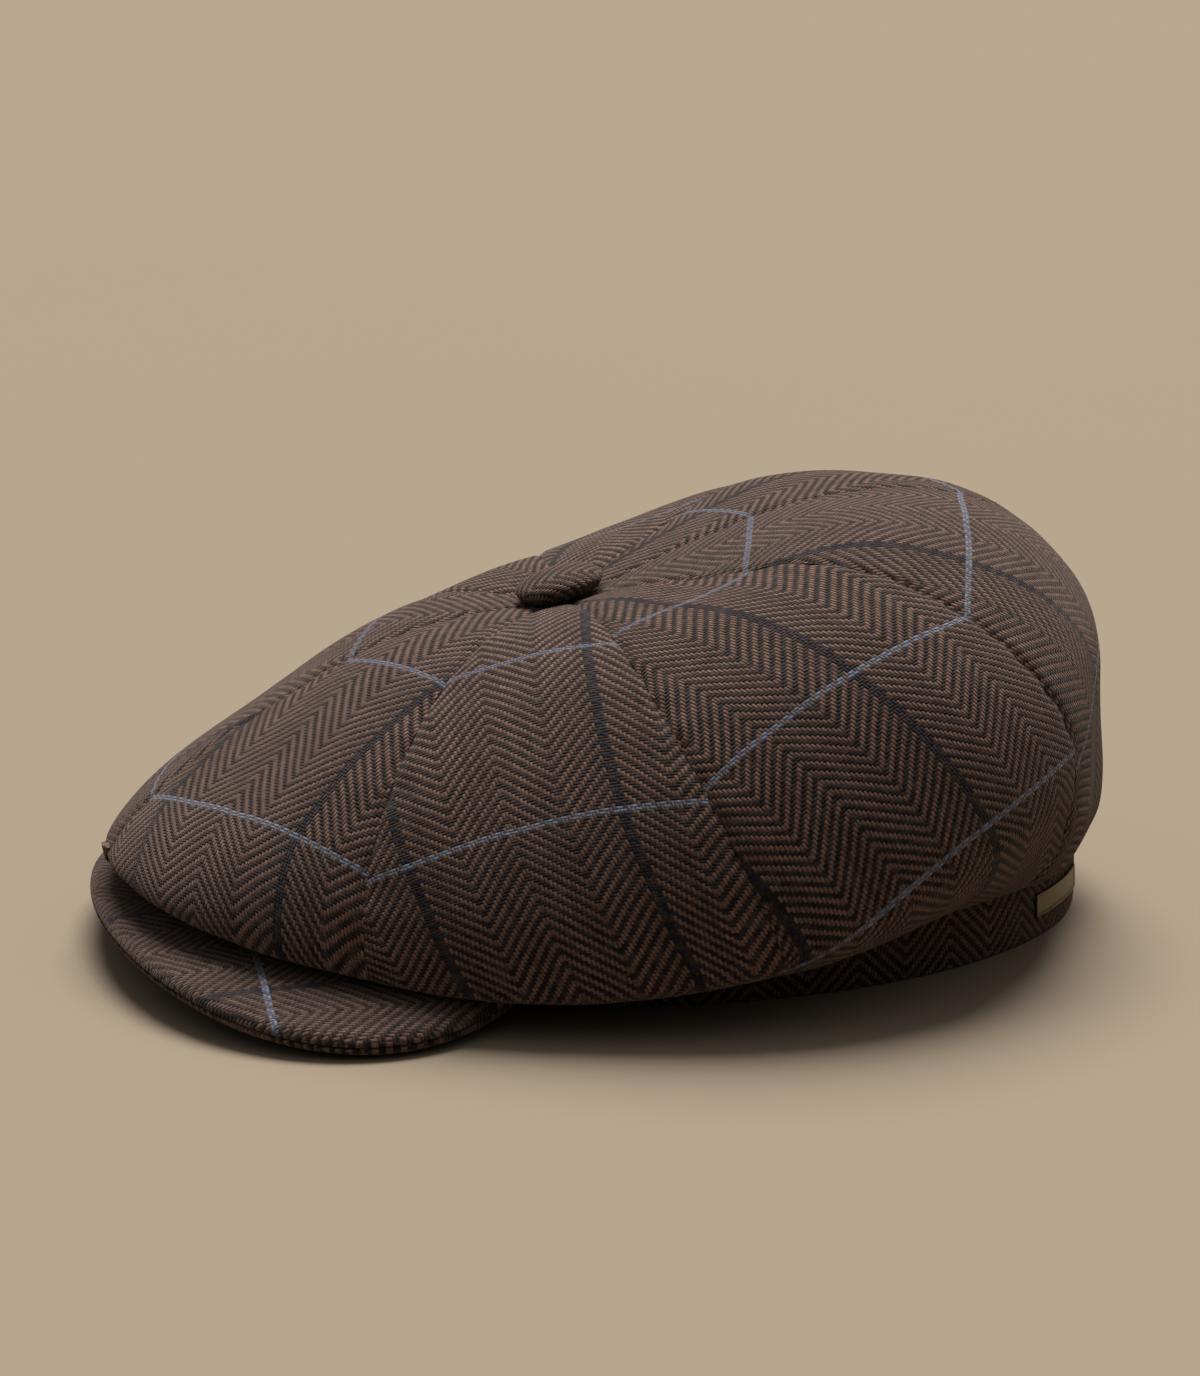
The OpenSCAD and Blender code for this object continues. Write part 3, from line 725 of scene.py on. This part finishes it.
def stitchRow(name, half, out, z, length, gap, material):
    clearSelection()
    bpy.ops.mesh.primitive_uv_sphere_add(segments=6, ring_count=4, radius=0.5 * mm)
    stitch = bpy.context.active_object
    shape = np.array([v.co[:] for v in stitch.data.vertices]) / mm
    faces = [tuple(p.vertices) for p in stitch.data.polygons]
    bpy.data.objects.remove(stitch, do_unlink=True)
    shape = shape * np.array([length, 0.4, 0.42])
    angles = np.radians(np.linspace(0, 360, 1441))
    line = ovalPoints(half, angles)
    run = np.concatenate([[0], np.cumsum(np.linalg.norm(np.diff(line, axis=0), axis=1))])
    count = int(run[-1] / (length + gap))
    points, polygons = [], []
    for n in range(count):
        a = np.interp(run[-1] * n / count, run, angles)
        base = ovalPoints(half, np.array([a]))[0]
        outward = np.array([math.sin(a) / half[0], -math.cos(a) / half[1]])
        outward /= np.linalg.norm(outward)
        along = np.array([-outward[1], outward[0]])
        flatPlace = base + outward * out + shape[:, :1] * along + shape[:, 1:2] * outward
        polygons += [tuple(k + n * len(shape) for k in face) for face in faces]
        points.append(np.concatenate([flatPlace, z + shape[:, 2:3]], axis=1))
    mesh = bpy.data.meshes.new(name)
    mesh.from_pydata((np.concatenate(points) * mm).tolist(), [], polygons)
    layer = mesh.uv_layers.new(name="cut")
    corners = np.empty(len(mesh.loops), dtype=np.int32)
    mesh.loops.foreach_get("vertex_index", corners)
    flat = np.concatenate(points)[corners]
    layer.data.foreach_set("uv", (np.stack([flat[:, 0] + flat[:, 1], flat[:, 2]], axis=-1) * mm).ravel())
    row = bpy.data.objects.new(name, mesh)
    scene.collection.objects.link(row)
    activate(row)
    bpy.ops.object.shade_smooth()
    return finishPiece(row, material, "sweatband_cloth")


for rowName, rowHeight in (
    ("sweatbandLowerStitches", sweat["lowRow"]), ("sweatbandUpperStitches", sweat["highRow"]),
):
    stitchRow(rowName, opening, sweat["rowSink"], rowHeight, sweat["stitch"], sweat["gap"], thread)
print("cap: rim turned and stitched")


# lining
lining = {"drop": 8.1, "ease": 0.3, "tipShare": 0.42, "gather": 0.9, "skin": 0.5}


def liningPoint(a, v):
    r, h = waved(reachValues, a), waved(crown["edgeHeights"], a)
    foot = ovalReach(opening, a) + rim["sweatSkin"] - 0.6
    low = lining["drop"]
    curve = [
        (0 * a, crown["apex"] - low + 0 * a),
        (around(crown["swells"], a) * r * 0.9, crown["apex"] + around(crown["rises"], a) - low),
        (foot + lining["ease"] * (r - foot), h + around(crown["fullnesses"], a) - low),
        (foot, rim["sweatTop"] + 0.15 + 0 * a),
    ]
    reach, height = bezier([p[0] for p in curve], v), bezier([p[1] for p in curve], v)
    return np.stack([reach * np.sin(a), -crown["buttonForward"] - reach * np.cos(a), height], axis=-1)


def liningPiece(name, node, start, end, steps, low, high, rows):
    angles = np.radians(np.linspace(start, end, steps + 1))[None, :]
    v = np.linspace(high, low, rows + 1)[:, None]
    a, v = angles + 0 * v, v + 0 * angles
    points = liningPoint(a, v)
    normals = gridNormals(points)
    folds = np.sin(a * 38 + 2.2 * np.sin(a * 5)) * np.sin(np.pi * np.clip((v - 0.3) / 0.7, 0, 1)) ** 1.5
    wrinkle = 0.8 * softNoise(points, 26, 5.2)
    wrinkle = wrinkle * np.clip(v * 4, 0, 1) * np.clip((1 - v) * 6, 0, 1)
    points = points + normals * (lining["gather"] * folds + wrinkle)[..., None]
    out = np.linalg.norm(points[..., :2] - np.array([0, -crown["buttonForward"]]), axis=-1)
    if low == 0:
        cut = points[..., :2]
    else:
        fallen = np.cumsum(np.linalg.norm(np.diff(points, axis=0), axis=2), axis=0)
        fall = np.concatenate([np.zeros((1, steps + 1)), fallen])
        cut = np.stack([a * out.mean(), fall], axis=-1)
    piece = gridPiece(name, points, cut, False, low == 0)
    giveThickness(piece, lining["skin"])
    smoothByAngle(piece, 70)
    finishPiece(piece, satin, "lining_cloth", node)


liningPiece("liningTip", "lining_tip", 0, 360, 120, 0, lining["tipShare"], 22)
share = lining["tipShare"] + 0.002
liningPiece("liningSideLeft", "lining_side_left", 0.1, 179.9, 170, share, 1, 30)
liningPiece("liningSideRight", "lining_side_right", 180.1, 359.9, 170, share, 1, 30)
print("cap: lining hung")


# labels
labels = {"skin": 0.4, "curl": 1.2, "careWidth": 24, "tabWidth": 12, "between": 6}


def hangLabel(name, node, width, angle):
    low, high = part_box(node)
    top, bottom = high[2] / mm, low[2] / mm
    a = math.radians(180 - angle)
    outward = np.array([math.sin(a) / opening[0], -math.cos(a) / opening[1]])
    outward /= np.linalg.norm(outward)
    along = np.array([-outward[1], outward[0]])
    sag = (width / 2) ** 2 / 2 / (opening[0] ** 2 / opening[1])
    base = ovalPoints(opening, np.array([a]))[0] - outward * (sag + 0.15)
    acrossSteps, downSteps = np.linspace(-width / 2, width / 2, 17), np.linspace(0, 1, 21)
    points = np.zeros((21, 17, 3))
    for i, fall in enumerate(downSteps):
        lift = labels["curl"] * max(0, fall - 0.3) ** 2
        for j, shiftAcross in enumerate(acrossSteps):
            spot = base + along * shiftAcross - outward * (lift + 0.12 * math.sin(shiftAcross / 3))
            points[i, j] = (*spot, top + (bottom - top) * fall)
    cut = np.stack(np.meshgrid(acrossSteps, downSteps * (top - bottom)), axis=-1)
    piece = gridPiece(name, points, cut, True)
    giveThickness(piece, labels["skin"], 0)
    smoothByAngle(piece, 50)
    finishPiece(piece, tape, "label_cloth", node)


apart = (labels["careWidth"] + labels["tabWidth"] + labels["between"]) / 2
hangLabel("careLabel", "care_label", labels["careWidth"], 0)
hangLabel("sizeTab", "size_tab", labels["tabWidth"], math.degrees(apart / opening[0]))
print("cap: labels hung")


# peak
peak = {
    "overhang": 21, "setback": 12.3, "forward": 60, "foot": 0.5, "rise": 10, "thickness": 5.1,
    "rootAngle": 61, "edgeAngle": 134, "camber": 1.2, "boardInset": 3.5, "skin": 1.2,
    "columns": 150, "rows": 26, "edgeRows": 9, "shiftTop": (-24, 7.8), "shiftUnder": (0, 0),
}


def peakCover(name, node, side, material, slot, shift):
    halfWidth = rim["bandOut"][0] + peak["overhang"]
    widest = peak["setback"] - rim["bandOut"][1]
    s = np.linspace(-1, 1, peak["columns"] + 1)
    rootAngle, edgeAngle = np.radians(peak["rootAngle"] * s), np.radians(peak["edgeAngle"] * s)
    root = ovalPoints((rim["bandOut"][0] + 0.1, rim["bandOut"][1] + 0.1), rootAngle)
    edge = np.stack([halfWidth * np.sin(edgeAngle), widest - peak["forward"] * np.cos(edgeAngle)], axis=-1)
    width = np.linalg.norm(edge - root, axis=1)

    def inset(amount):
        share = np.minimum(amount / width, 0.6 * amount / peak["boardInset"])
        return edge + (root - edge) * share[:, None]

    half = peak["thickness"] / 2
    ringPlaces, ringHeights = [], []
    for r in np.linspace(0, 1, peak["rows"]):
        ringPlaces.append(root + (inset(peak["boardInset"]) - root) * r)
        ringHeights.append(half)
    for t in np.radians(np.linspace(8, 84, peak["edgeRows"])):
        ringPlaces.append(inset(peak["boardInset"] * (1 - math.sin(t))))
        ringHeights.append(half * math.cos(t) ** 0.85)
    ringPlaces.append(inset(0.55))
    ringHeights.append(0.05)
    flat = np.array(ringPlaces)
    middle = peak["foot"] + half + peak["rise"] * (1 - (flat[..., 0] / halfWidth) ** 2)
    fromEdge = np.clip(1 - np.linalg.norm(flat - root, axis=-1) / np.maximum(width, 1), 0, 1)
    middle = middle + peak["camber"] * np.sin(np.pi * fromEdge) * (side > 0)
    points = np.concatenate([flat, (middle + side * np.array(ringHeights)[:, None])[..., None]], axis=-1)
    settled = np.clip(np.array(ringHeights) / half, 0, 1)[:, None]
    points[..., 2] += side * 0.35 * softNoise(points, 24, 4.4 + side) * settled
    cut = flat + np.array(shift)
    piece = gridPiece(name, points, cut, side < 0)
    giveThickness(piece, peak["skin"])
    smoothByAngle(piece, 55)
    finishPiece(piece, material, slot, node)


peakCover("peakTopCover", "peak_top_cover", 1, peakTweedPaintedShade, "tweed", peak["shiftTop"])
peakCover("peakUnderCover", "peak_under_cover", -1, bandTweed, "under_cloth", peak["shiftUnder"])


# button
button = {"diameter": 23, "height": 6.5, "lift": 3.4, "tilt": 13, "pleats": 11, "grain": (21, 25)}


def coveredButton():
    clearSelection()
    radius = button["diameter"] / 2
    bpy.ops.mesh.primitive_uv_sphere_add(segments=96, ring_count=48, radius=radius * mm)
    piece = bpy.context.active_object
    piece.name = piece.data.name = "buttonCover"
    waist = button["lift"] + button["height"] * 0.35
    shape = np.array([v.co[:] for v in piece.data.vertices]) / mm
    turn = np.arctan2(shape[:, 1], shape[:, 0])
    out = np.linalg.norm(shape[:, :2], axis=1)
    level = shape[:, 2] / radius
    dome = button["height"] * 0.65 * np.sign(level) * np.abs(level) ** 0.9
    under = -button["height"] * 0.35 * np.minimum(1, -level * 1.8)
    z = waist + np.where(level >= 0, dome, under)
    pleat = 1 - 0.035 * np.clip(-level * 3 + 0.35, 0, 1) * np.abs(np.sin(button["pleats"] * turn / 2 + 0.8))
    out = out * pleat
    z = z + 0.12 * np.sin(3 * turn + 1) * (out / radius)
    points = np.stack([out * np.cos(turn), out * np.sin(turn), z], axis=-1)
    layer = piece.data.uv_layers.active
    layer.name = "cut"
    corners = np.empty(len(piece.data.loops), dtype=np.int32)
    piece.data.loops.foreach_get("vertex_index", corners)
    spread = 1 + 0.25 * (1 - np.abs(level)) + np.clip(-level, 0, 1)
    flat = points[:, :2] * spread[:, None] + np.array(button["grain"])
    layer.data.foreach_set("uv", (flat[corners] * mm).ravel())
    tilt = Matrix.Rotation(math.radians(button["tilt"]), 4, "X")
    place = Matrix.Translation((0, -crown["buttonForward"], crown["apex"])) @ tilt
    placed = [place @ Vector(p) for p in points.tolist()]
    piece.data.vertices.foreach_set("co", (np.array([p[:] for p in placed]) * mm).ravel())
    piece.data.update()
    applyModifier(piece, "SUBSURF", levels=1, render_levels=1)
    activate(piece)
    bpy.ops.object.shade_smooth()
    finishPiece(piece, tweed, "tweed", "button_cover")


coveredButton()
print("cap: peak and button covered")


# badge
badge = {
    "length": 30, "height": 6, "thickness": 0.8, "angle": 30, "middle": 9, "stand": 0.3,
    "border": 0.6, "sink": 0.22, "bevel": 0.16, "slices": 30,
}


def metalBadge():
    clearSelection()
    size = (badge["length"] * mm, badge["thickness"] * mm, badge["height"] * mm)
    bpy.ops.mesh.primitive_cube_add(size=1, scale=size)
    piece = bpy.context.active_object
    bpy.ops.object.transform_apply(location=False, rotation=False, scale=True)
    piece.name = piece.data.name = "sideBadge"
    bpy.ops.object.mode_set(mode="EDIT")
    bpy.ops.mesh.select_all(action="DESELECT")
    bpy.ops.object.mode_set(mode="OBJECT")
    for face in piece.data.polygons:
        face.select = face.normal.y < -0.5
    bpy.ops.object.mode_set(mode="EDIT")
    bpy.ops.mesh.select_mode(type="FACE")
    bpy.ops.mesh.inset(thickness=badge["border"] * mm, depth=0)
    bpy.ops.mesh.inset(thickness=0.2 * mm, depth=-badge["sink"] * mm)
    bpy.ops.mesh.select_all(action="DESELECT")
    bpy.ops.object.mode_set(mode="OBJECT")
    applyModifier(
        piece, "BEVEL", width=badge["bevel"] * mm, segments=3, limit_method="ANGLE",
        angle_limit=math.radians(40),
    )
    for n in range(1, badge["slices"]):
        activate(piece)
        bpy.ops.object.mode_set(mode="EDIT")
        bpy.ops.mesh.select_all(action="SELECT")
        x = (-badge["length"] / 2 + badge["length"] * n / badge["slices"]) * mm
        bpy.ops.mesh.bisect(plane_co=(x, 0, 0), plane_no=(1, 0, 0))
        bpy.ops.object.mode_set(mode="OBJECT")
    half = rim["bandOut"]
    middle = math.radians(180 - badge["angle"])
    speed = math.hypot(half[0] * math.cos(middle), half[1] * math.sin(middle))
    for vertex in piece.data.vertices:
        x, y, z = (c / mm for c in vertex.co)
        a = middle + x / speed
        base = ovalPoints(half, np.array([a]))[0]
        outward = np.array([math.sin(a) / half[0], -math.cos(a) / half[1]])
        outward /= np.linalg.norm(outward)
        spot = base + outward * (badge["stand"] + badge["thickness"] / 2 - y)
        vertex.co = Vector((spot[0], spot[1], badge["middle"] + z)) * mm
    activate(piece)
    bpy.ops.object.mode_set(mode="EDIT")
    bpy.ops.mesh.select_all(action="SELECT")
    bpy.ops.mesh.normals_make_consistent(inside=False)
    bpy.ops.object.mode_set(mode="OBJECT")
    smoothByAngle(piece, 35)
    finishPiece(piece, antiqueBrass, "badge_metal", "side_badge")


metalBadge()
print("cap: badge pinned")


# pieces kept from the frame
for node, material in (
    ("peak_board", boardPlastic), ("button_shell", stampedSteel), ("button_back", stampedSteel),
):
    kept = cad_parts[node]
    kept.data.materials.clear()
    kept.data.materials.append(material)


# floor
def layFloor():
    clearSelection()
    bpy.ops.mesh.primitive_plane_add(size=light["floorSize"], location=(0, 0, cadBox[0][2]))
    floor = bpy.context.active_object
    floor.name = "paperFloor"
    material, tree, shader = newMaterial("floorPaper")
    place = tree.nodes.new("ShaderNodeTexCoord").outputs["Object"]
    tone = noiseValue(tree, place, 3, 2)
    color = light["floorColor"]
    soft = tuple(channel * 0.985 for channel in color)
    tree.links.new(blendColor(tree, tone, color, soft), shader.inputs["Base Color"])
    shader.inputs["Roughness"].default_value = 0.95
    shader.inputs["Specular IOR Level"].default_value = 0.05
    floor.data.materials.append(material)


layFloor()
print("cap: finished")
